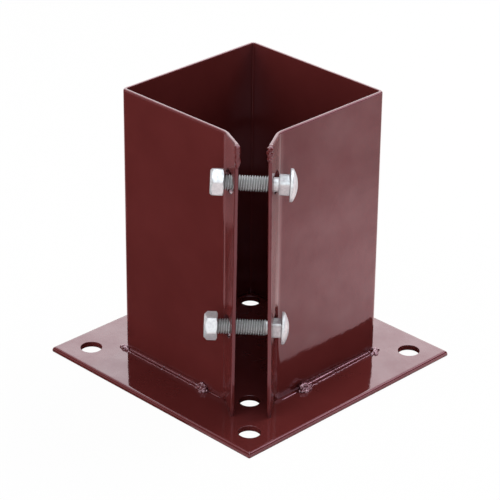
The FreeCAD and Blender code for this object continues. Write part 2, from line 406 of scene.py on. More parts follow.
@dataclass
class Sleeve:
    """The folded sheet: three closed corners, and a bend and a flange at each side of the open one.

    The front walls, bends and flanges are graphs over the plane of the diagonal and the height, so
    the bolt holes are true circles there: across = f(out, height) for each skin.
    """

    sheet: float = 2.0
    corner_inside: float = 1.2
    wall_stop: float = 21.5
    bend: float = 9.0
    flange: float = 14.5
    flange_corner: float = 2.0
    angles: dict[Side, tuple[float, float]] = field(
        default_factory=lambda: {Side.LEFT: (12.3, 19.8), Side.RIGHT: (7.4, 13.8)}
    )
    hole_radius: float = 6.0
    hole_reach: float = 6.7
    hole_heights: tuple[float, float] = (50.0, 130.0)
    arris: float = 1.1
    edge_share: float = 0.56
    inner_share: float = 0.4
    hole_share: float = 0.12
    hole_near: float = 0.3
    skin_near: float = 1.2
    side_near: float = 1.4
    ease_from: float = 20.0
    wall_steps: int = 8
    bend_steps: int = 9
    tip_steps: int = 4

    def __post_init__(self) -> None:
        """Reads the sleeve's outside, its foot and its head from the frame."""
        low, high = np.array(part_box("sleeve")) / MILLIMETRE
        self.half = -low[0]
        self.foot = low[2]
        self.head = high[2]
        self.wall_end = self.half - self.wall_stop
        self.corner_middle = self.half - self.sheet - self.corner_inside
        self.hole_out = float(np.mean([Nut.out_of(name) for name in BOLT_HANG]))
        self.cell = (self.hole_out - self.hole_reach, self.hole_out + self.hole_reach)
        self.bend_out = (self.wall_end + self.half + self.bend) / ROOT_TWO

    def bend_radius(self, skin: Skin) -> float:
        """The radius of a skin in the bends."""
        return self.bend if skin is Skin.OUTER else self.bend + self.sheet

    def angle(self, side: Side, height: np.ndarray) -> np.ndarray:
        """The flange's angle off the diagonal, which goes evenly from the plate to the top.

        Args:
            side: Whose angles to use.
            height: Height.

        Returns:
            The angle, in radians.
        """
        at_plate, at_top = self.angles[side]
        share = (height - self.foot) / (self.head - self.foot)
        return np.radians(at_plate + (at_top - at_plate) * share)

    def tip_out(self, side: Side, height: np.ndarray, skin: Skin = Skin.OUTER) -> np.ndarray:
        """How far out a skin's free edge lies: the bend's end plus the flange's run."""
        angle = self.angle(side, height)
        return self.bend_out - self.bend_radius(skin) * np.sin(angle) + self.flange * np.cos(angle)

    def across(self, side: Side, out: np.ndarray, height: np.ndarray, skin: Skin) -> np.ndarray:
        """Distance across the diagonal of the left wall, bend or flange.

        On the wall across = out + root 2 times the wall's y. On the bend it lies on a circle about
        the bend's middle. On the flange it grows by the tangent of the flange's angle.

        Args:
            side: Whose angles to use; the shape is drawn on the left.
            out: Distance out along the diagonal.
            height: Height.
            skin: Which face of the sheet.

        Returns:
            The distance across, below zero on the left.
        """
        wall = -self.half if skin is Skin.OUTER else self.sheet - self.half
        radius = self.bend_radius(skin)
        middle_across = (self.wall_end - self.half - self.bend) / ROOT_TWO
        angle = self.angle(side, height)
        bend_start = (self.wall_end - wall) / ROOT_TWO
        bend_end = self.bend_out - radius * np.sin(angle)
        on_wall = out + ROOT_TWO * wall
        on_bend = middle_across + np.sqrt(np.maximum(radius ** 2 - (out - self.bend_out) ** 2, 0.0))
        on_flange = middle_across + radius * np.cos(angle) + (out - bend_end) * np.tan(angle)
        return np.where(out < bend_start, on_wall, np.where(out < bend_end, on_bend, on_flange))

    def plan(self) -> SheetPlan:
        """The plan of a front wall and its flange: columns run out along the diagonal, rows up.

        Returns:
            The plan.
        """
        start = (self.half - self.corner_middle) / ROOT_TWO
        flat_to = (self.wall_end + self.half) / ROOT_TWO - self.sheet
        columns = spaced([start, self.ease_from, flat_to, *self.cell, self.nominal_tip()],
                         [self.wall_steps, self.wall_steps, self.bend_steps, CELL_STEPS, self.tip_steps])
        holes = tuple(Hole(self.hole_out, height, self.hole_radius, self.hole_reach)
                      for height in self.hole_heights)
        return SheetPlan(columns, self.row_lines(), holes)

    def row_lines(self) -> np.ndarray:
        """Rows of the plan, with each hole's cell evenly cut.

        Returns:
            Their heights, from the foot to the head.
        """
        stops = [self.foot]
        for height in self.hole_heights:
            stops += [height - self.hole_reach, height + self.hole_reach]
        return spaced(stops + [self.head], [8, CELL_STEPS, 12, CELL_STEPS, 6])

    def nominal_tip(self) -> float:
        """The outer skin's free edge at mid height, averaged over both sides."""
        middle = np.array([(self.foot + self.head) / 2])
        return float(np.mean([self.tip_out(side, middle)[0] for side in Side]))

    def front(self, side: Side) -> tuple[np.ndarray, np.ndarray, np.ndarray]:
        """Both skins of a front wall with its bend and flange.

        Columns are distances out and rows are heights. Past the holes the columns stretch to the
        skin's free edge, and above them the rows sink under the corner's round. The inner skin's
        columns start shifted by the sheet over root 2, and the shift eases away before the holes.

        Args:
            side: Left or right of the diagonal.

        Returns:
            Outer points, matching inner points and faces.
        """
        flat = self.plan().mesh()
        column, row = flat.points.T
        tip = self.nominal_tip()
        cell_from, cell_to = self.cell
        past = np.clip(column - (tip - self.flange_corner), 0.0, self.flange_corner)
        ceiling = self.head - self.flange_corner + np.sqrt(self.flange_corner ** 2 - past ** 2)
        band = self.hole_heights[-1] + self.hole_reach
        lift = np.clip((row - band) / (self.head - band), 0.0, 1.0)
        height = np.where(row > band, band + lift * (ceiling - band), row)
        strip = np.clip((column - cell_to) / (tip - cell_to), 0.0, 1.0)
        skins = []
        for skin in Skin:
            reach = self.tip_out(side, height, skin) - cell_to
            out = np.where(column > cell_to, cell_to + strip * reach, column)
            if skin is Skin.INNER:
                ease = np.clip((column - self.ease_from) / (cell_from - self.ease_from), 0.0, 1.0)
                out = out - (self.sheet / ROOT_TWO) * (1.0 - ease)
            points = from_diagonal(self.across(side, out, height, skin), out, height)
            skins.append(points if side is Side.LEFT else mirrored(points))
        return skins[0], skins[1], flat.faces

    def back(self) -> tuple[np.ndarray, np.ndarray, np.ndarray]:
        """Both skins of the two back walls and the three closed corners, in one run.

        A skin's plan is three quarter arcs joined by straight lines, the same at every row's height.

        Returns:
            Outer points, matching inner points and faces.
        """
        middle = self.corner_middle
        corners = [(-middle, -middle, -90.0), (-middle, middle, -180.0), (middle, middle, -270.0)]
        paths = []
        for radius in (self.corner_inside + self.sheet, self.corner_inside):
            path = []
            for x, y, first in corners:
                turn = np.radians(np.linspace(first, first - 90.0, 9))
                path.append(np.stack([x + radius * np.cos(turn), y + radius * np.sin(turn)], axis=1))
            joined = [path[0]]
            for arc in path[1:]:
                joined.append(np.linspace(joined[-1][-1], arc[0], 10)[1:-1])
                joined.append(arc)
            paths.append(np.concatenate(joined))
        rows = self.row_lines()
        skins = [
            np.column_stack([np.tile(path, (len(rows), 1)), np.repeat(rows, len(path))]) for path in paths
        ]
        return skins[0], skins[1], grid_faces(len(rows), len(paths[0]))

    def arris_share(self, middles: np.ndarray) -> np.ndarray:
        """Shares of the arris: full on the head's outer edge, less inside, at the flanges and the holes.

        An edge is outer where it lies near the box's sides, or near the outer skin's across. One well
        under the head is a flange's free edge, and the foot's edges stay crisp.

        Args:
            middles: Middle points of the edges.

        Returns:
            Each edge's share of the arris's width.
        """
        out = (middles[:, 0] - middles[:, 1]) / ROOT_TWO
        across = (middles[:, 0] + middles[:, 1]) / ROOT_TWO
        height = middles[:, 2]
        skins = [self.across(side, out, height, Skin.OUTER) * sign for side, sign in
                 ((Side.LEFT, 1.0), (Side.RIGHT, -1.0))]
        outer = np.abs(across - np.where(across < 0.0, *skins)) < self.skin_near
        outer |= -np.minimum(middles[:, 0], -middles[:, 1]) > self.half - self.side_near
        near = np.zeros(len(middles), dtype=bool)
        for level in self.hole_heights:
            near |= np.hypot(out - self.hole_out, height - level) < self.hole_radius + self.hole_near
        share = np.where(outer & (out < self.cell[1]), 1.0, self.inner_share)
        share = np.where(height < self.head - self.flange_corner - NEARLY, self.edge_share, share)
        share = np.where(near, self.hole_share, share)
        return np.where(height < self.foot + NEARLY, 0.0, share)

    def build(self, finish: Material) -> None:
        """Joins the fronts and the back into one closed sheet.

        Args:
            finish: The paint.
        """
        runs = [self.front(Side.LEFT), self.back(), self.front(Side.RIGHT)]
        outer, inner = (Surface.joined([Surface(run[skin], run[2]) for run in runs]) for skin in (0, 1))
        sheet = closed_sheet(outer.points, inner.points, outer.faces)
        sleeve = sheet.piece("sleeve_sheet", Slot.PAINT, finish, ["sleeve"])
        round_edges(sleeve, self.arris, 5, self.arris_share)


@dataclass
class BoltAxis:
    """Where a bolt hangs: its slope down towards the head, found again at its nut in the frame."""

    name: str
    slope: float

    def placed(self, points: np.ndarray, turn: float) -> np.ndarray:
        """Turns points drawn along X about the bolt's axis, slopes it and carries it to its holes.

        Args:
            points: The points, with X = 0 under the head and the thread towards -X.
            turn: The turn about the axis, in degrees.

        Returns:
            The points in the frame.
        """
        spin = Quaternion((0.0, 0.0, 1.0), math.radians(45.0))
        spin = spin @ Quaternion((0.0, 1.0, 0.0), math.radians(self.slope))
        spin = spin @ Quaternion((1.0, 0.0, 0.0), math.radians(turn))
        matrix = np.array(spin.to_matrix())
        low, high = np.array(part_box("nut_" + self.name)) / MILLIMETRE
        along = matrix @ np.array([1.0, 0.0, 0.0])
        origin = (low + high) / 2 - along * CoachBolt.nut_middle()
        return points @ matrix.T + origin


@dataclass
class CoachBolt:
    """A cup head, a square neck, a short plain shank and a rolled thread, as one skin."""

    axis: BoltAxis
    neck_turn: float
    head_radius: float = 8.25
    head_height: float = 3.8
    head_rim: float = 1.0
    rim_round: float = 0.7
    under_round: float = 0.25
    neck_half: float = 4.0
    neck_length: float = 5.4
    neck_seat: float = 1.8
    neck_round: float = 0.35
    neck_ease: float = 0.1
    neck_squareness: float = 9.0
    plain_shank: float = 2.6
    shank_radius: float = 3.55
    length: float = 38.6
    crest: float = 4.0
    thread_depth: float = 0.8
    flank: float = 1.35
    crest_flat: float = 0.15
    # Share of the painted shade on the thread's crests; the roots get all of it.
    crest_shade: float = 0.15
    pitch: float = 1.25
    turn_stations: int = 10
    tip_chamfer: float = 0.9
    sides: int = 72

    @staticmethod
    def nut_middle() -> float:
        """The nut's middle along the bolt, from under the head."""
        return -CoachBolt.length - Nut.tip_recess + Nut.thickness / 2

    def profile(self) -> tuple[np.ndarray, np.ndarray, np.ndarray]:
        """Stations along the skin: place along the axis, radius, and how square the section is.

        The head's crown is an arc that meets the arc of its rim without a corner.

        Returns:
            The three arrays.
        """
        rise = self.head_height - self.head_rim
        inner = self.head_radius - self.rim_round
        dome = (inner ** 2 + rise ** 2 - self.rim_round ** 2) / (2 * (rise - self.rim_round))
        meet = math.asin(inner / (dome - self.rim_round))
        swing = np.linspace(0.0, meet, 20)
        turned = np.linspace(meet, math.pi / 2, 7)[1:]
        soft = np.linspace(0.0, math.pi / 2, 4)
        head_x = np.concatenate([self.head_height - dome + dome * np.cos(swing),
                                 self.head_rim + self.rim_round * np.cos(turned),
                                 self.under_round * (1.0 - np.sin(soft))])
        head_r = np.concatenate([dome * np.sin(swing), inner + self.rim_round * np.sin(turned),
                                 self.head_radius - self.under_round * (1.0 - np.cos(soft))])
        neck_end = -self.neck_length
        neck_x = np.array([0.0, 0.0, -self.neck_round, neck_end + self.neck_round, neck_end + self.neck_ease,
                           neck_end])
        neck_r = self.neck_half + np.array([self.neck_seat, self.neck_round, 0.0, 0.0, -self.neck_ease,
                                            -self.neck_round])
        shank_end = neck_end - self.plain_shank
        shank_x = np.array([neck_end, neck_end - self.under_round, shank_end + self.neck_ease])
        shank_r = self.shank_radius + np.array([self.under_round, 0.0, 0.0])
        count = int(round((self.length + shank_end) / self.pitch * self.turn_stations))
        thread_x = np.linspace(shank_end, -self.length, count)
        x = np.concatenate([head_x, neck_x, shank_x, thread_x, [-self.length, -self.length]])
        r = np.concatenate([head_r, neck_r, shank_r, np.full(count, self.crest), [self.crest / 2, 0.0]])
        square = np.zeros_like(x)
        square[len(head_x):len(head_x) + len(neck_x)] = 1.0
        return x, r, square

    def skin(self) -> tuple[np.ndarray, np.ndarray]:
        """Points of the skin, station by station, and how much painted shade darkens the thread at each one.

        A round station keeps its radius. A square one is a superellipse, so the radius is the half
        side over (|cos|^n + |sin|^n)^(1/n). On the thread the radius falls from crest to root by a
        clipped triangle wave of the place along the axis plus the turn, which makes the helix.

        Returns:
            The points, drawn along X, and the share of painted shade, from the crest's share at the crest to
            1 at the root.
        """
        x, r, square = self.profile()
        turn = full_turn(self.sides)[None, :]
        n = self.neck_squareness
        corner = (np.abs(np.cos(turn)) ** n + np.abs(np.sin(turn)) ** n) ** (-1.0 / n)
        radius = r[:, None] * (1.0 + square[:, None] * (corner - 1.0))
        start = -self.neck_length - self.plain_shank
        place = x[:, None]
        phase = np.mod(place / self.pitch + turn / (2.0 * math.pi), 1.0)
        tooth = np.clip(self.flank * np.abs(2.0 * phase - 1.0) - self.crest_flat, 0.0, 1.0)
        depth = self.thread_depth * np.clip((start - place) / self.pitch, 0.0, 1.0)
        lead_in = self.crest - self.tip_chamfer + (place + self.length)
        threaded = np.minimum(self.crest - depth * tooth, lead_in)
        on_thread = (place <= start) & (r[:, None] >= self.crest)
        radius = np.where(on_thread, threaded, radius)
        # Painted shade: it darkens the thread towards its roots, where the grooves lie in shade.
        groove_shade = np.where(on_thread, self.crest_shade + (1.0 - self.crest_shade) * tooth, 0.0)
        return np.roll(rings(place, radius, turn), 1, axis=1), groove_shade.ravel()

    def build(self, finish: Material) -> None:
        """Makes the bolt where it hangs.

        Args:
            finish: The zinc.
        """
        # The thread's mask of painted shade rides along with the skin's points.
        points, groove_shade = self.skin()
        faces = grid_faces(len(points) // self.sides, self.sides, closed=True)
        skin = Surface(self.axis.placed(points, self.neck_turn), faces, groove_shade)
        name = self.axis.name
        skin.piece("bolt_" + name, Slot.ZINC, finish, ["coach_bolt_" + name], 42.0)


@dataclass
class Nut:
    """A hexagon nut, well chamfered outside and a little inside, with a countersunk mouth to its bore."""

    axis: BoltAxis
    turn: float
    flat: float = 6.5
    thickness: float = 6.8
    tip_recess: float = 0.3
    outer_inset: float = 0.8
    outer_slope: float = math.tan(math.radians(45.0))
    inner_inset: float = 0.3
    inner_slope: float = math.tan(math.radians(30.0))
    bore: float = 4.05
    mouth: float = 0.5
    soft: float = 0.25
    soft_share: float = 0.25
    sides: int = 144

    @staticmethod
    def out_of(name: str) -> float:
        """Reads a nut's place from the frame.

        Args:
            name: Its bolt's name.

        Returns:
            How far out along the diagonal its middle lies.
        """
        low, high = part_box("nut_" + name)
        middle = (low + high) / 2
        return (middle.x - middle.y) / ROOT_TWO / MILLIMETRE

    def skin(self) -> np.ndarray:
        """Points of the skin: the smallest of the hexagon's radius and the two chamfer cones'.

        The hexagon's radius is the flat's distance over the cosine of the turn from its flat, with
        the six corners softened by a smooth minimum with a circle.

        Returns:
            The points, drawn along X.
        """
        turn = full_turn(self.sides)[None, :]
        from_flat = np.mod(turn, math.pi / 3) - math.pi / 6
        corner = self.flat / math.cos(math.pi / 6) - self.soft
        hexagon = self.flat / np.cos(from_flat)
        hexagon = np.minimum(hexagon, corner + (hexagon - corner) * self.soft_share)
        widest = self.flat / math.cos(math.pi / 6) - self.flat
        outer = np.linspace(0.0, (widest + self.outer_inset) * self.outer_slope, 14)
        inner = self.thickness - np.linspace(0.0, (widest + self.inner_inset) * self.inner_slope, 9)[::-1]
        middle = np.linspace(outer[-1], inner[0], 5)[1:-1]
        place = np.concatenate([outer, middle, inner])[:, None]
        outer_cone = self.flat - self.outer_inset + place / self.outer_slope
        inner_cone = self.flat - self.inner_inset + (self.thickness - place) / self.inner_slope
        outside = np.minimum(hexagon, np.minimum(outer_cone, inner_cone))
        mouth_x = np.array([self.thickness, self.thickness - self.mouth, self.mouth, 0.0])[:, None]
        mouth_r = np.array([self.bore + self.mouth, self.bore, self.bore, self.bore + self.mouth])[:, None]
        radius = np.concatenate([outside, np.broadcast_to(mouth_r, (4, self.sides))])
        points = np.roll(rings(np.concatenate([place, mouth_x]), radius, turn), 1, axis=1)
        return np.concatenate([points, points[:self.sides]])

    def build(self, finish: Material) -> None:
        """Makes the nut on its bolt's thread.

        Args:
            finish: The zinc.
        """
        points = self.skin() + np.array([-CoachBolt.length - self.tip_recess, 0.0, 0.0])
        faces = grid_faces(len(points) // self.sides, self.sides, closed=True)
        skin = Surface(self.axis.placed(points, self.turn), faces)
        name = self.axis.name
        skin.piece("hex_nut_" + name, Slot.ZINC, finish, ["nut_" + name], 25.0)


@dataclass
class WeldBead:
    """A painted fillet of weld, flared towards its stop, and crumpled lumps where it starts and stops."""

    name: str
    node: str
    start: tuple[float, float]
    stop: tuple[float, float]
    away: tuple[float, float]
    foot: float
    lumps: tuple[Lump, ...]
    seed: int
    widen: float = 0.0
    sink: float = 0.0
    rolls: tuple[Roll, ...] = ((76.0, 24.0, 0.72, 10), (24.0, 82.0, 0.10, 4), (82.0, 82.0, 1.1, 2),
                               (76.0, 24.0, 0.5, 9), (24.0, 90.0, 0.12, 4))
    tail_rolls: tuple[Roll, ...] = ((80.0, 30.0, 0.35, 6), (30.0, 90.0, 0.1, 3))
    flare: float = 0.3
    flare_length: float = 6.0
    tail: float = 0.0
    tail_reach: float = 0.1
    ripple: float = 0.05
    ripple_middle: float = 0.6
    ripple_lag: float = 0.5
    ripple_drift: float = 0.4
    ripple_length: float = 1.6
    wave: float = 0.05
    wave_length: float = 7.0
    swell: float = 0.075
    swell_length: float = 1.9
    end_round: float = 1.2
    end_least: float = 0.02
    station: float = 0.3
    sunk: float = 0.25
    root: float = 1.2
    bite: float = 0.03

    @staticmethod
    def section(rolls: Sequence[Roll]) -> tuple[np.ndarray, np.ndarray]:
        """A run's section from the wall to the plate.

        It is a chain of arcs, each with the tilt of its normal above level at its two ends, its
        length and its steps. Out adds up the tilt's sine along the chain, up takes off its cosine.

        Args:
            rolls: The arcs.

        Returns:
            How far out and how far up each point lies.
        """
        turned = [np.linspace(tilt, after, steps + 1) for tilt, after, _, steps in rolls]
        tilts = np.radians(np.concatenate([(arc[1:] + arc[:-1]) / 2 for arc in turned]))
        lengths = np.concatenate([np.full(steps, length / steps) for _, _, length, steps in rolls])
        out = np.append(0.0, np.cumsum(lengths * np.sin(tilts)))
        down = np.append(0.0, np.cumsum(lengths * np.cos(tilts)))
        return out, down[-1] - down

    def bead(self, start: np.ndarray, stop: np.ndarray, rolls: Sequence[Roll]) -> Surface:
        """A run: the weld's section carried along the wall's foot.

        The section is scaled by ripples that lag at the toes, by slow waves in the weld's size and
        by the flare before the stop. Along the run it widens and sinks evenly, and its edges bite a
        little into the wall and the plate.

        Args:
            start: Where it starts, in plan.
            stop: Where it stops.
            rolls: The arcs of its section.

        Returns:
            The closed shell.
        """
        start, stop, away = (np.append(v, 0.0) for v in (start, stop, self.away))
        run = np.linalg.norm(stop - start)
        stations = int(run / self.station)
        along = np.linspace(0.0, 1.0, stations)[:, None]
        out, up = (share[None, :] for share in self.section(rolls))
        place = np.column_stack([along * run, np.zeros((stations, 2))])
        wave = waves(place, self.wave_length, self.seed)[:, None]
        swell = waves(place, self.swell_length, self.seed + 1)[:, None]
        lag = self.ripple_lag * np.sin(math.pi * out / out.max()) + self.ripple_drift * wave
        ripple = np.abs(np.sin(math.pi * (along * run / self.ripple_length + lag))) - self.ripple_middle
        last = np.clip(1.0 - (1.0 - along) * run / self.flare_length, 0.0, 1.0)
        flare = 1.0 + self.flare * last ** 2 * (3.0 - 2.0 * last)
        size = flare * (1.0 + self.ripple * ripple + self.wave * wave + self.swell * swell)
        from_end = np.minimum(along, 1.0 - along) * run / self.end_round
        size = size * np.sqrt(np.clip(from_end, self.end_least, 1.0))
        out = (1.0 + self.widen * along) * size * out - self.bite
        up = (1.0 - self.sink * along) * size * up - self.bite
        deep = np.full_like(along, -self.sunk)
        out = np.concatenate([out, deep, deep, out[:, :1]], axis=1)
        up = np.concatenate([up, up[:, -1:], deep, deep], axis=1)
        base = start + along[:, :, None] * (stop - start)
        lift = np.array([0.0, 0.0, 1.0])
        points = base + out[:, :, None] * away + (self.foot + up)[:, :, None] * lift
        columns = points.shape[1]
        caps = np.broadcast_to(points[[0, -1]].mean(axis=1, keepdims=True), (2, columns, 3))
        closed = np.concatenate([caps[:1], points, caps[1:]])
        return Surface(closed.reshape(-1, 3), grid_faces(len(closed), columns, closed=True))

    def build(self, finish: Material) -> None:
        """Makes the bead, the paint that runs on past it in the seam, and its lumps, as one piece.

        Args:
            finish: The paint.
        """
        start, stop = np.array(self.start), np.array(self.stop)
        shells = [self.bead(start, stop, self.rolls)]
        if self.tail > 0.0:
            ahead = (stop - start) / np.linalg.norm(stop - start) * self.tail
            shift = np.array(self.away) * self.tail_reach
            shells.append(self.bead(stop + shift, stop + ahead + shift, self.tail_rolls))
        for number, (x, y, size, up) in enumerate(self.lumps):
            shells.append(blob(np.array([x, y, self.foot + up]), size, self.seed + 31 * number,
                               self.foot - self.root))
        Surface.joined(shells).piece(self.name, Slot.PAINT, finish, [self.node], 60.0)


def blob(middle: np.ndarray, radius: float, seed: int, root: float) -> Surface:
    """A crumpled drop of weld: a flattened ball, swelled by waves and creased where finer ones cross 0.

    Args:
        middle: Its middle.
        radius: Its usual radius.
        seed: Fixes its unevenness.
        root: The height inside the plate at which it is cut flat.

    Returns:
        The closed shell.
    """
    steps, sides, flattened = 17, 28, np.array([1.0, 1.0, 0.8])
    tilt = np.linspace(0.0, math.pi, steps)[:, None]
    unit = rings(np.cos(tilt), np.sin(tilt), full_turn(sides)[None, :])
    swelling = 0.14 * waves(unit, 1.2, seed)
    creases = 0.15 * np.abs(waves(unit, 0.95, seed + 1))
    points = middle + unit * radius * (0.96 + swelling + creases)[:, None] * flattened
    points[:, 2] = np.maximum(points[:, 2], root)
    return Surface(points, grid_faces(steps, sides, closed=True))


@dataclass
class EdgeWeld:
    """A short uneven run of weld left on the top of a flange's free edge."""

    side: Side
    seed: int
    radius: float = 1.6
    foot_taper: float = 2.4
    usual_share: float = 0.92
    pool_swell: float = 0.12
    pool_rate: float = 1.7
    pool_lean: float = 0.8
    lumpiness: float = 0.26
    lump_width: float = 1.9
    steps: int = 60
    sides: int = 24

    def build(self, finish: Material) -> None:
        """Makes the run inside its node's box: a tube with swelling pools and round ends.

        The radius along it is a half circle's at the head and a long taper's at the foot, times pool
        swellings and waves.

        Args:
            finish: The paint.
        """
        node = "edge_weld_" + self.side.value
        low, high = np.array(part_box(node)) / MILLIMETRE
        middle = (low + high) / 2
        length = high[2] - low[2]
        share = np.linspace(-1.0, 1.0, self.steps)[:, None]
        turn = full_turn(self.sides)[None, :]
        from_end = (1.0 - np.abs(share)) * length / 2 / np.where(share < 0.0, self.foot_taper, 1.0)
        ends = np.sqrt(np.clip(1.0 - (1.0 - np.minimum(from_end / self.radius, 1.0)) ** 2, 0.0, 1.0))
        height = middle[2] + share * length / 2
        pools = np.sin(height * self.pool_rate + self.pool_lean * np.cos(turn))
        radius = self.radius * ends * (self.usual_share + self.pool_swell * pools)
        points = rings(height, radius, turn) + middle * np.array([1.0, 1.0, 0.0])
        shift = self.lumpiness * waves(points, self.lump_width, self.seed)[:, None]
        points = points + shift * (points - middle) * np.array([1.0, 1.0, 0.0]) / self.radius
        run = Surface(points, grid_faces(self.steps, self.sides, closed=True))
        run.piece("edge_run_" + self.side.value, Slot.PAINT, finish, [node], 60.0)


@dataclass
class EdgeBurr:
    """The torn burr that the saw left along the outer arris of a flange's free edge."""

    sleeve: Sleeve
    side: Side = Side.RIGHT
    low: float = 96.0
    high: float = 133.0
    radius: float = 0.26
    pitch: float = 1.1
    inset: tuple[float, float] = (0.22, -0.2)
    taper: float = 2.0
    stub_share: float = 0.45
    tooth_share: float = 0.75
    uneven_share: float = 0.35
    uneven_width: float = 2.6
    limits: tuple[float, float] = (0.15, 1.5)
    steps: int = 320
    sides: int = 10
    seed: int = 17

    def build(self, finish: Material) -> None:
        """Makes the burr: a thin tube along the arris, torn into teeth.

        The radius is a floor plus a sawtooth of the height, uneven by waves, and falls to nothing
        at both ends.

        Args:
            finish: The paint.
        """
        height = np.linspace(self.low, self.high, self.steps)
        out = self.sleeve.tip_out(self.side, height)
        across = self.sleeve.across(self.side, out, height, Skin.OUTER)
        line = from_diagonal(across + self.inset[0], out + self.inset[1], height)
        line = line if self.side is Side.LEFT else mirrored(line)
        uneven = waves(np.column_stack([height, 0 * height, 0 * height]), self.uneven_width, self.seed)
        drift = self.uneven_share * uneven
        tooth = 1.0 - np.mod(height / self.pitch + drift, 1.0)
        ends = np.clip(np.minimum(height - self.low, self.high - height) / self.taper, 0.0, 1.0)
        torn = np.clip(self.stub_share + self.tooth_share * tooth + drift, *self.limits)
        radius = self.radius * ends * torn
        points = rings(np.zeros((len(height), 1)), radius[:, None], full_turn(self.sides)[None, :])
        faces = grid_faces(len(height), self.sides, closed=True)
        burr = Surface(np.repeat(line, self.sides, axis=0) + points, faces)
        burr.piece("edge_burr", Slot.PAINT, finish, [], 60.0)


def feed_inputs(node: Node, feeds: dict[str | int, Feed]) -> None:
    """Feeds a node's inputs.

    Args:
        node: The node.
        feeds: What each input gets, by its name or number: a constant, or another node's output.
    """
    for label, feed in feeds.items():
        if isinstance(feed, NodeSocket):
            node.id_data.links.new(feed, node.inputs[label])
        else:
            node.inputs[label].default_value = feed


def add_node(tree: NodeTree, kind: str, feeds: dict[str | int, Feed] | None = None,
             **options: object) -> Node:
    """Adds a shader node to a tree.

    Args:
        tree: The tree.
        kind: The node's type, without the word that all shader nodes start with.
        feeds: What its inputs get.
        options: Its own settings, made before its inputs are fed.

    Returns:
        The node.
    """
    node = tree.nodes.new("ShaderNode" + kind)
    for name, option in options.items():
        setattr(node, name, option)
    feed_inputs(node, feeds or {})
    return node


def effect_group(name: str, inputs: dict[str, float], output: str,
                 wire: Callable[[NodeTree, Node], NodeSocket]) -> NodeTree:
    """Makes a shader node group with named number inputs and one number output.

    Args:
        name: The group's name.
        inputs: Each input's name and usual value.
        output: The output's name.
        wire: Fills the group's tree, given its input node too, and gives what the output gets.

    Returns:
        The group.
    """
    tree = bpy.data.node_groups.new(name, "ShaderNodeTree")
    for label, value in inputs.items():
        socket = tree.interface.new_socket(label, in_out="INPUT", socket_type="NodeSocketFloat")
        socket.default_value = value
    tree.interface.new_socket(output, in_out="OUTPUT", socket_type="NodeSocketFloat")
    result = wire(tree, tree.nodes.new("NodeGroupInput"))
    feed_inputs(tree.nodes.new("NodeGroupOutput"), {output: result})
    return tree


def mottle(tree: NodeTree, entry: Node) -> NodeSocket:
    """Soft noise at the given scale, with its middle spread to a mask from 0 to 1.

    Args:
        tree: The group's tree.
        entry: Its input node.

    Returns:
        The mask.
    """
    place = add_node(tree, "TexCoord").outputs["Object"]
    feeds = {"Vector": place, "Scale": entry.outputs["Scale"], "Detail": 4.0, "Roughness": 0.6}
    noise = add_node(tree, "TexNoise", feeds).outputs["Fac"]
    return add_node(tree, "MapRange", {"Value": noise, "From Min": 0.32, "From Max": 0.68}).outputs["Result"]


def wobble(tree: NodeTree, entry: Node) -> NodeSocket:
    """The height of a coat that flowed: broad waves plus a share of fine orange peel.

    Args:
        tree: The group's tree.
        entry: Its input node.

    Returns:
        The height.
    """
    place = add_node(tree, "TexCoord").outputs["Object"]
    noises = [add_node(tree, "TexNoise", {"Vector": place, "Scale": entry.outputs[label], "Detail": 1.0})
              for label in ("Broad Scale", "Fine Scale")]
    broad, fine = (noise.outputs["Fac"] for noise in noises)
    feeds = {0: fine, 1: entry.outputs["Fine Share"], 2: broad}
    return add_node(tree, "Math", feeds, operation="MULTIPLY_ADD").outputs["Value"]


@dataclass
class Effects:
    """The node groups that the finishes share."""

    def __post_init__(self) -> None:
        """Builds each group once."""
        self.mottle = effect_group("mottle", {"Scale": 30.0}, "Mask", mottle)
        wobble_inputs = {"Broad Scale": 25.0, "Fine Scale": 400.0, "Fine Share": 0.05}
        self.wobble = effect_group("wobble", wobble_inputs, "Height", wobble)


def placed_group(tree: NodeTree, group: NodeTree, values: dict[str, float]) -> NodeSocket:
    """Places an effect in a material's nodes with its own values, and gives its output."""
    return add_node(tree, "Group", values, node_tree=group).outputs[0]


def masked(tree: NodeTree, mask: NodeSocket, low: Colour | float, high: Colour | float) -> NodeSocket:
    """A value or colour that goes from low to high with a mask.

    Args:
        tree: The material's nodes.
        mask: The mask.
        low: The value or colour where the mask is 0.
        high: The value or colour where it is 1.

    Returns:
        The mixed value or colour.
    """
    if isinstance(low, float):
        return add_node(tree, "MapRange", {"Value": mask, "To Min": low, "To Max": high}).outputs["Result"]
    feeds = {"Factor": mask, "A": (*low, 1.0), "B": (*high, 1.0)}
    return add_node(tree, "Mix", feeds, data_type="RGBA").outputs["Result"]


def new_material(name: str, values: dict[str, Feed]) -> tuple[Material, Node]:
    """Makes a material, and sets constants on its shader's own sockets.

    Args:
        name: The material's name.
        values: The constants.

    Returns:
        The material and its shader.
    """
    made = bpy.data.materials.new(name)
    made.use_nodes = True
    shader = made.node_tree.nodes["Principled BSDF"]
    feed_inputs(shader, values)
    return made, shader


def matt(grey: float) -> dict[str, Feed]:
    """A shader's constants for a matt grey without any shine."""
    return {"Base Color": (grey, grey, grey, 1.0), "Roughness": 1.0, "Specular IOR Level": 0.0}


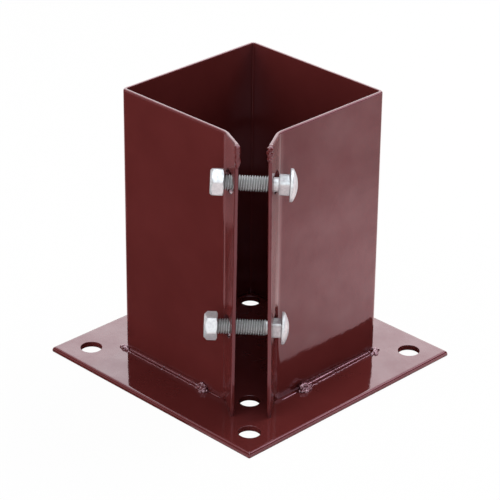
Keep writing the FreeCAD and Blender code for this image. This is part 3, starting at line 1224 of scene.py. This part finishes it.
@dataclass(frozen=True)
class Finish:
    """What the finishes share: clouds in their tone, and a coat that lies a little uneven."""

    name: str
    cloud_scale: float
    broad_scale: float
    fine_scale: float
    fine_share: float
    depth: float

    def clouds(self, tree: NodeTree, effects: Effects) -> NodeSocket:
        """The mask of its clouds."""
        return placed_group(tree, effects.mottle, {"Scale": self.cloud_scale})

    def normal(self, tree: NodeTree, effects: Effects) -> NodeSocket:
        """The normal of its coat: broad waves and fine peel, as deep as its depth in metres.

        Args:
            tree: The material's nodes.
            effects: The shared node groups.

        Returns:
            The normal.
        """
        flow = {"Broad Scale": self.broad_scale, "Fine Scale": self.fine_scale, "Fine Share": self.fine_share}
        height = placed_group(tree, effects.wobble, flow)
        return add_node(tree, "Bump", {"Height": height, "Distance": self.depth}).outputs["Normal"]


@dataclass(frozen=True)
class GlossPaint(Finish):
    """Glossy oxide-red paint over steel."""

    deep: Colour = (0.096, 0.0158, 0.0152)
    bright: Colour = (0.112, 0.0195, 0.0188)
    shine: Colour = (1.0, 0.66, 0.79)
    density: float = 1.62
    gloss: tuple[float, float] = (0.05, 0.09)
    cloud_scale: float = 22.0
    haze: float = 0.3
    haze_scale: float = 60.0
    broad_scale: float = 26.0
    fine_scale: float = 330.0
    fine_share: float = 0.05
    depth: float = 0.0006

    def material(self, effects: Effects) -> Material:
        """Makes the material.

        Args:
            effects: The shared node groups.

        Returns:
            The material.
        """
        made, shader = new_material(self.name, {
            "IOR": self.density, "Specular Tint": (*self.shine, 1.0), "Coat Roughness": self.gloss[1]})
        tree = made.node_tree
        clouds = self.clouds(tree, effects)
        patches = placed_group(tree, effects.mottle, {"Scale": self.haze_scale})
        feed_inputs(shader, {"Base Color": masked(tree, clouds, self.deep, self.bright),
                             "Roughness": masked(tree, clouds, *self.gloss),
                             "Coat Weight": masked(tree, patches, 0.0, self.haze),
                             "Normal": self.normal(tree, effects)})
        return made


@dataclass(frozen=True)
class ZincPlate(Finish):
    """Bright zinc on a forged and rolled bolt, with painted shade in its thread's roots."""

    dull: Colour = (0.60, 0.62, 0.65)
    clean: Colour = (0.76, 0.78, 0.80)
    # The colour of the painted shade in the thread's roots.
    groove_shade: Colour = (0.30, 0.31, 0.31)
    rough: tuple[float, float] = (0.5, 0.32)
    metal: float = 0.45
    cloud_scale: float = 700.0
    broad_scale: float = 300.0
    fine_scale: float = 1500.0
    fine_share: float = 0.3
    depth: float = 0.00025

    def material(self, effects: Effects) -> Material:
        """Makes the material.

        Args:
            effects: The shared node groups.

        Returns:
            The material.
        """
        made, shader = new_material(self.name, {"Metallic": self.metal})
        tree = made.node_tree
        clouds = self.clouds(tree, effects)
        # The thread's mask mixes the plating towards the painted shade colour in its roots.
        depth = add_node(tree, "Attribute", attribute_name=GROOVE_SHADE).outputs["Fac"]
        plating = masked(tree, clouds, self.dull, self.clean)
        feeds = {"Factor": depth, "A": plating, "B": (*self.groove_shade, 1.0)}
        shaded_plating = add_node(tree, "Mix", feeds, data_type="RGBA").outputs["Result"]
        feed_inputs(shader, {"Base Color": shaded_plating, "Roughness": masked(tree, clouds, *self.rough),
                             "Normal": self.normal(tree, effects)})
        return made


def bearing(azimuth: float, elevation: float) -> Vector:
    """The direction of something at this azimuth and elevation, in degrees."""
    turn, tilt = math.radians(azimuth), math.radians(elevation)
    return Vector((math.sin(turn) * math.cos(tilt), -math.cos(turn) * math.cos(tilt), math.sin(tilt)))


@dataclass
class Studio:
    """The pale floor, the white surround, the soft lamps and the camera."""

    lens_pixels: float = 2255.25
    azimuth: float = 44.924
    elevation: float = 26.853
    roll: float = 0.634
    distance: float = 1.17919
    target_right: float = -0.000606
    target_height: float = 0.062188
    surround: float = 0.62
    floor_share: float = 0.97
    floor_reach: float = 6.0
    floor_level: float = -0.0001
    paper_tones: tuple[tuple[float, float], ...] = ((0.15, 0.56), (0.38, 0.9), (0.52, 0.85), (0.76, 0.5))
    paper_reach: float = 0.4
    paper_base: float = 0.5
    paper_sides: tuple[float, ...] = (-0.005, 0.05, 1.54, 1.06)
    paper_colour: Colour = (1.0, 0.78, 0.77)
    paper_back: tuple[float, ...] = (-0.07, -0.015, 0.55, 1.0)
    paper_drift: float = 0.5
    paper_scale: float = 26.0

    def camera(self) -> None:
        """Sets the camera where it stood: on a line at the azimuth and elevation from its target."""
        data = bpy.data.cameras.new("camera")
        data.sensor_width = 36.0
        data.lens = self.lens_pixels / PHOTO_SIDE * data.sensor_width
        data.clip_start = 0.05
        data.clip_end = 50.0
        back = bearing(self.azimuth, self.elevation)
        right = bearing(self.azimuth + 90.0, 0.0)
        eye = scene_object("camera", data)
        eye.rotation_mode = "QUATERNION"
        lean = Quaternion((0.0, 0.0, 1.0), math.radians(self.roll))
        eye.rotation_quaternion = (-back).to_track_quat("-Z", "Y") @ lean
        target = right * self.target_right + Vector((0.0, 0.0, self.target_height))
        eye.location = target + back * self.distance
        bpy.context.scene.camera = eye

    @staticmethod
    def stage_plane(name: str, corners: Sequence[Point], material: Material) -> Object:
        """Makes a flat stage piece, which isn't part of the object.

        Args:
            name: Its name.
            corners: Its four corners.
            material: Its material.

        Returns:
            The plane.
        """
        mesh = bpy.data.meshes.new(name)
        mesh.from_pydata(list(corners), [], [(0, 1, 2, 3)])
        mesh.materials.append(material)
        plane = scene_object(name, mesh)
        return plane

    def floor(self) -> None:
        """A white floor that keeps the shadow, and shows white to the camera and in the gloss."""
        made, shader = new_material("studio_floor", matt(0.8))
        tree = made.node_tree
        path = add_node(tree, "LightPath").outputs
        camera, gloss = path["Is Camera Ray"], path["Is Glossy Ray"]
        share = add_node(tree, "Math", {0: camera, 1: self.floor_share, 2: gloss}, operation="MULTIPLY_ADD")
        tint = masked(tree, camera, self.paper_colour, (1.0, 1.0, 1.0))
        glow = add_node(tree, "Emission", {"Color": tint, "Strength": self.paper(tree, camera)})
        mix = add_node(tree, "MixShader", {0: share.outputs["Value"], 1: shader.outputs["BSDF"],
                                           2: glow.outputs["Emission"]})
        feed_inputs(tree.nodes["Material Output"], {"Surface": mix.outputs["Shader"]})
        reach = (-self.floor_reach, self.floor_reach)
        self.stage_plane("floor", self.lying(reach, reach, self.floor_level), made)

    @staticmethod
    def eased(tree: NodeTree, value: NodeSocket, ends: Sequence[float]) -> NodeSocket:
        """Carries a value smoothly between two ends; the last two ends are what it gives there."""
        feeds = {"Value": value, **dict(zip(("From Min", "From Max", "To Min", "To Max"), ends))}
        return add_node(tree, "MapRange", feeds, interpolation_type="SMOOTHSTEP").outputs["Result"]

    def paper(self, tree: NodeTree, camera: NodeSocket) -> NodeSocket:
        """The floor's glow: 1 to the camera, and in the gloss the uneven light on a paper sweep.

        In the gloss it is a ramp of the distance across the open corner's diagonal, times two slopes
        of the distance along it, plus an even base and soft clouds.

        Args:
            tree: The floor's nodes.
            camera: 1 for what the camera sees.

        Returns:
            The glow.
        """
        place = add_node(tree, "TexCoord").outputs["Object"]
        turn = (0.0, 0.0, math.radians(45.0))
        turned = add_node(tree, "Mapping", {"Vector": place, "Rotation": turn}).outputs["Vector"]
        split = add_node(tree, "SeparateXYZ", {"Vector": turned}).outputs
        across = add_node(tree, "MapRange", {"Value": split["Y"], "From Max": self.paper_reach})
        ramp = add_node(tree, "ValToRGB", {"Fac": across.outputs["Result"]})
        ramp.color_ramp.interpolation = "EASE"
        stops = ramp.color_ramp.elements
        for number, (stop, tone) in enumerate(self.paper_tones):
            mark = stops[number] if number < 2 else stops.new(stop)
            mark.position = stop
            mark.color = (tone, tone, tone, 1.0)
        slopes = {0: self.eased(tree, split["X"], self.paper_sides),
                  1: self.eased(tree, split["X"], self.paper_back)}
        slope = add_node(tree, "Math", slopes, operation="MULTIPLY").outputs["Value"]
        feeds = {0: ramp.outputs["Color"], 1: slope, 2: self.paper_base}
        graded = add_node(tree, "Math", feeds, operation="MULTIPLY_ADD").outputs["Value"]
        feeds = {"Vector": turned, "Scale": self.paper_scale, "Detail": 3.0}
        cloud = add_node(tree, "TexNoise", feeds).outputs["Fac"]
        feeds = {0: cloud, 1: self.paper_drift, 2: graded}
        drift = add_node(tree, "Math", feeds, operation="MULTIPLY_ADD").outputs["Value"]
        level = add_node(tree, "Math", {0: drift, 1: self.paper_drift / 2}, operation="SUBTRACT")
        feeds = {"Factor": camera, "A": level.outputs["Value"], "B": 1.0}
        return add_node(tree, "Mix", feeds).outputs["Result"]

    def world(self) -> None:
        """A white surround: full white to the camera and in the gloss, softer as light."""
        world = bpy.data.worlds.new("surround")
        bpy.context.scene.world = world
        world.use_nodes = True
        tree = world.node_tree
        path = add_node(tree, "LightPath").outputs
        rays = {0: path["Is Camera Ray"], 1: path["Is Glossy Ray"]}
        seen = add_node(tree, "Math", rays, operation="MAXIMUM")
        strength = masked(tree, seen.outputs["Value"], self.surround, 1.0)
        feed_inputs(tree.nodes["Background"], {"Color": (1.0, 1.0, 1.0, 1.0), "Strength": strength})

    def softbox(self, name: str, azimuth: float, elevation: float, distance: float,
                side: float, radiance: float) -> None:
        """An area lamp that faces the object.

        Args:
            name: Its name.
            azimuth: Its bearing, on the camera's scale, in degrees.
            elevation: Its height above the horizon, in degrees.
            distance: Its distance from the object.
            side: The side of its square.
            radiance: Its brightness, where white paper is 1; its power is that times pi and its area.
        """
        data = bpy.data.lights.new(name, "AREA")
        data.shape = "RECTANGLE"
        data.size, data.size_y = side, side
        data.energy = radiance * math.pi * side * side
        lamp = scene_object(name, data)
        back = bearing(azimuth, elevation)
        lamp.rotation_mode = "QUATERNION"
        lamp.rotation_quaternion = back.to_track_quat("Z", "Y")
        lamp.location = back * distance + Vector((0.0, 0.0, self.target_height))
        lamp.visible_camera = False
        lamp.visible_glossy = False

    def glossy_card(self, name: str, corners: Sequence[Point], glow: float, tone: Colour) -> None:
        """A card that only reflections see: a black flag, or a pale one that glows.

        Args:
            name: Its name.
            corners: Its four corners.
            glow: Its brightness, 0 for a black flag.
            tone: The glow's colour.
        """
        made, shader = new_material(name, matt(0.01))
        feed_inputs(shader, {"Emission Color": (*tone, 1.0), "Emission Strength": glow})
        card = self.stage_plane(name, corners, made)
        card.visible_camera = False
        card.visible_diffuse = False
        card.visible_shadow = False

    @staticmethod
    def lying(across: tuple[float, float], along: tuple[float, float], level: float) -> list[Point]:
        """Corners of a level card, from its reach in X, its reach in Y and its height."""
        (x0, x1), (y0, y1) = across, along
        return [(x0, y0, level), (x1, y0, level), (x1, y1, level), (x0, y1, level)]

    def upright(self, azimuth: float, near: float, half_width: float, low: float,
                high: float) -> list[Point]:
        """Corners of an upright card that faces the object.

        Args:
            azimuth: Its bearing from the camera's, in degrees.
            near: Its distance.
            half_width: Half of its width.
            low: Its foot's height.
            high: Its head's height.

        Returns:
            The corners.
        """
        out = bearing(self.azimuth + azimuth, 0.0).to_2d() * near
        side = bearing(self.azimuth + azimuth + 90.0, 0.0).to_2d() * half_width
        first, last = out - side, out + side
        return [(*first, low), (*last, low), (*last, high), (*first, high)]

    def build(self) -> None:
        """Sets the stage: camera, floor, surround, lamps, and the cards that the gloss shows."""
        bpy.context.scene.view_settings.view_transform = "Standard"
        self.camera()
        self.floor()
        self.world()
        self.softbox("left_softbox", self.azimuth - 60.0, 22.0, 1.0, 0.6, 3.3)
        self.softbox("right_softbox", self.azimuth + 128.0, 50.0, 1.0, 0.6, 6.3)
        white, pink, lilac = (1.0, 1.0, 1.0), (1.0, 0.7, 0.7), (1.0, 0.84, 0.92)
        warm, sky = (1.0, 0.56, 0.58), (0.88, 0.96, 1.0)
        edge, far, level = -0.0755, -2.5, 0.0002
        cards = (
            ("white_card_back", self.upright(180.0, 1.3, 0.8, 0.3, 2.2), 3.1, white),
            ("pink_card_left", self.upright(-90.0, 0.85, 0.6, 0.02, 0.24), 0.8, pink),
            ("pink_card_right", self.upright(90.0, 0.85, 0.6, 0.02, 0.24), 2.0, lilac),
            ("pink_panel_left", self.upright(-114.0, 0.75, 0.25, 0.56, 1.2), 1.4, pink),
            ("pink_panel_right", self.upright(114.0, 0.75, 0.25, 0.56, 1.2), 3.3, lilac),
            ("white_card_high", self.lying((-0.45, 0.45), (-0.45, 0.45), 1.15), 3.4, sky),
            ("white_card_left_back", self.upright(-155.0, 0.8, 0.25, 0.0, 0.3), 2.2, white),
            ("white_card_front", self.upright(0.0, 0.9, 0.4, 0.42, 1.25), 2.2, white),
            ("black_flag_left", self.upright(-84.0, 0.9, 0.95, 0.3, 1.9), 0.0, white),
            ("black_flag_right", self.upright(84.0, 0.9, 0.95, 0.3, 1.9), 0.0, white),
            ("black_flag_floor", self.lying((far, 0.03), (far, edge), level), 0.0, white),
            ("warm_card_side", self.lying((far, edge), (edge, 0.0), level), 0.5, warm),
            ("warm_card_far_side", self.lying((far, -0.18), (-0.15, edge), 2 * level), 0.5, warm),
            # A black card under the plate that only reflections see: painted shadow of the plate on the
            # floor, which the floor's glow in the gloss lacks.
            ("shadow_card_under_plate", self.lying((edge, -edge), (edge, -edge), self.floor_level / 2), 0.0, white),
        )
        for card in cards:
            self.glossy_card(*card)
        LOG.info("studio: camera, floor, surround, softboxes and cards")


# Lumps of weld: how far along the wall and out from it they lie, their radius and their height
LEFT_CORNER_LUMPS = ((-0.4, -0.4, 2.0, 0.0), (0.8, 0.9, 1.6, 0.2), (0.6, -1.9, 1.7, 0.1),
                     (2.6, 0.6, 1.2, 0.4), (-1.6, 0.6, 1.2, 0.0))
RIGHT_CORNER_LUMPS = ((1.0, 0.8, 2.0, -0.5), (2.4, 2.2, 1.8, -0.5), (0.0, -0.6, 1.6, -0.1),
                      (4.0, 1.7, 1.5, -0.3), (-1.4, 0.6, 1.3, -0.3), (3.0, 3.6, 1.1, -0.2),
                      (5.4, 2.5, 0.9, -0.1))
STOP_LUMPS = ((0.0, 0.9, 2.2, 0.8), (1.5, 1.7, 1.6, 0.3), (-1.6, 1.5, 1.9, 0.6), (1.0, 0.4, 1.5, 2.6),
              (-0.8, 0.8, 1.6, 2.8), (-2.9, 2.1, 1.3, 0.2), (2.7, 0.6, 1.2, 0.4), (0.2, 2.6, 1.4, 0.0),
              (1.9, 1.0, 0.9, 1.9), (-2.4, 1.0, 1.2, 1.7), (-4.2, 1.2, 1.0, 1.2))


def front_lumps(half: float, corner: Sequence[Lump], stop: float, side: Side,
                shift: tuple[float, float] = (0.0, 0.0)) -> tuple[Lump, ...]:
    """Places the lumps of a front run, drawn on the left.

    Args:
        half: Half of the sleeve's outside.
        corner: The lumps at the closed corner.
        stop: Where the run stops.
        side: Which front wall it runs along.
        shift: How much further along and out the lumps at its stop lie.

    Returns:
        Each lump's place in plan, radius and height.
    """
    lumps = [(-half + along, -half - out, radius, up) for along, out, radius, up in corner]
    lumps += [(stop + along + shift[0], -half - out - shift[1], radius, up)
              for along, out, radius, up in STOP_LUMPS]
    return tuple(lumps if side is Side.LEFT else [(-y, -x, radius, up) for x, y, radius, up in lumps])


def weld_runs(sleeve: Sleeve) -> list[WeldBead]:
    """The four runs along the walls' feet; the front ones stop by their nodes' boxes.

    Args:
        sleeve: The sleeve.

    Returns:
        The runs.
    """
    left_inset, right_inset = 3.0, 1.2
    back_inset, back_proud, back_lump = 7.5, 0.6, (1.6, 0.5)
    half, foot = sleeve.half, sleeve.foot
    corner = half - sleeve.corner_inside - sleeve.sheet
    back, back_out = half - back_inset, half + back_proud
    left_run, right_run = (np.array(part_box("weld_front_" + side.value)) / MILLIMETRE for side in Side)
    left, right = left_run[1, 0] - left_inset, -right_run[0, 1] - right_inset
    return [
        WeldBead("weld_run_front_left", "weld_front_left", (-corner, -half), (left, -half), (0.0, -1.0), foot,
                 front_lumps(half, LEFT_CORNER_LUMPS, left, Side.LEFT), 11, tail=sleeve.wall_end - left),
        WeldBead("weld_run_front_right", "weld_front_right", (half, corner), (half, -right), (1.0, 0.0), foot,
                 front_lumps(half, RIGHT_CORNER_LUMPS, right, Side.RIGHT, (2.0, 2.0)), 23, widen=0.6,
                 sink=0.3, flare=0.05, tail=sleeve.wall_end - right, tail_reach=1.9),
        WeldBead("weld_run_back_left", "weld_back_left", (-half, back), (-half, -back), (-1.0, 0.0), foot,
                 ((-back_out, back, *back_lump), (-back_out, -back, *back_lump)), 37),
        WeldBead("weld_run_back_right", "weld_back_right", (-back, half), (back, half), (0.0, 1.0), foot,
                 ((back, back_out, *back_lump), (-back, back_out, *back_lump)), 41),
    ]


def main() -> None:
    """Builds the stage and every sub-assembly in order."""
    logging.basicConfig(level=logging.INFO, format="%(name)s: %(message)s")
    effects = Effects()
    rough = {"fine_share": 0.12, "fine_scale": 600.0, "depth": 0.0004}
    sheet_paint = GlossPaint("oxide_paint_sheet").material(effects)
    # The welds get a darker copy of the sheet's paint, painted shade on the beads' bodies, with a higher IOR
    # for stronger reflections.
    weld_paint_shaded = GlossPaint("oxide_paint_weld_shaded", deep=(0.062, 0.01, 0.0098), bright=(0.086, 0.015, 0.0146),
                            density=2.4, **rough).material(effects)
    edge_paint = GlossPaint("oxide_paint_edge", **rough).material(effects)
    zinc = ZincPlate("bright_zinc").material(effects)
    Studio().build()
    BasePlate().build(sheet_paint)
    sleeve = Sleeve()
    sleeve.build(sheet_paint)
    EdgeBurr(sleeve).build(edge_paint)
    for run in weld_runs(sleeve):
        run.build(weld_paint_shaded)
    for side, seed in ((Side.LEFT, 5), (Side.RIGHT, 8)):
        EdgeWeld(side, seed).build(edge_paint)
    for name, (slope, neck_turn, nut_turn) in BOLT_HANG.items():
        axis = BoltAxis(name, slope)
        CoachBolt(axis, neck_turn).build(zinc)
        Nut(axis, nut_turn).build(zinc)


if __name__ == "__main__":
    main()
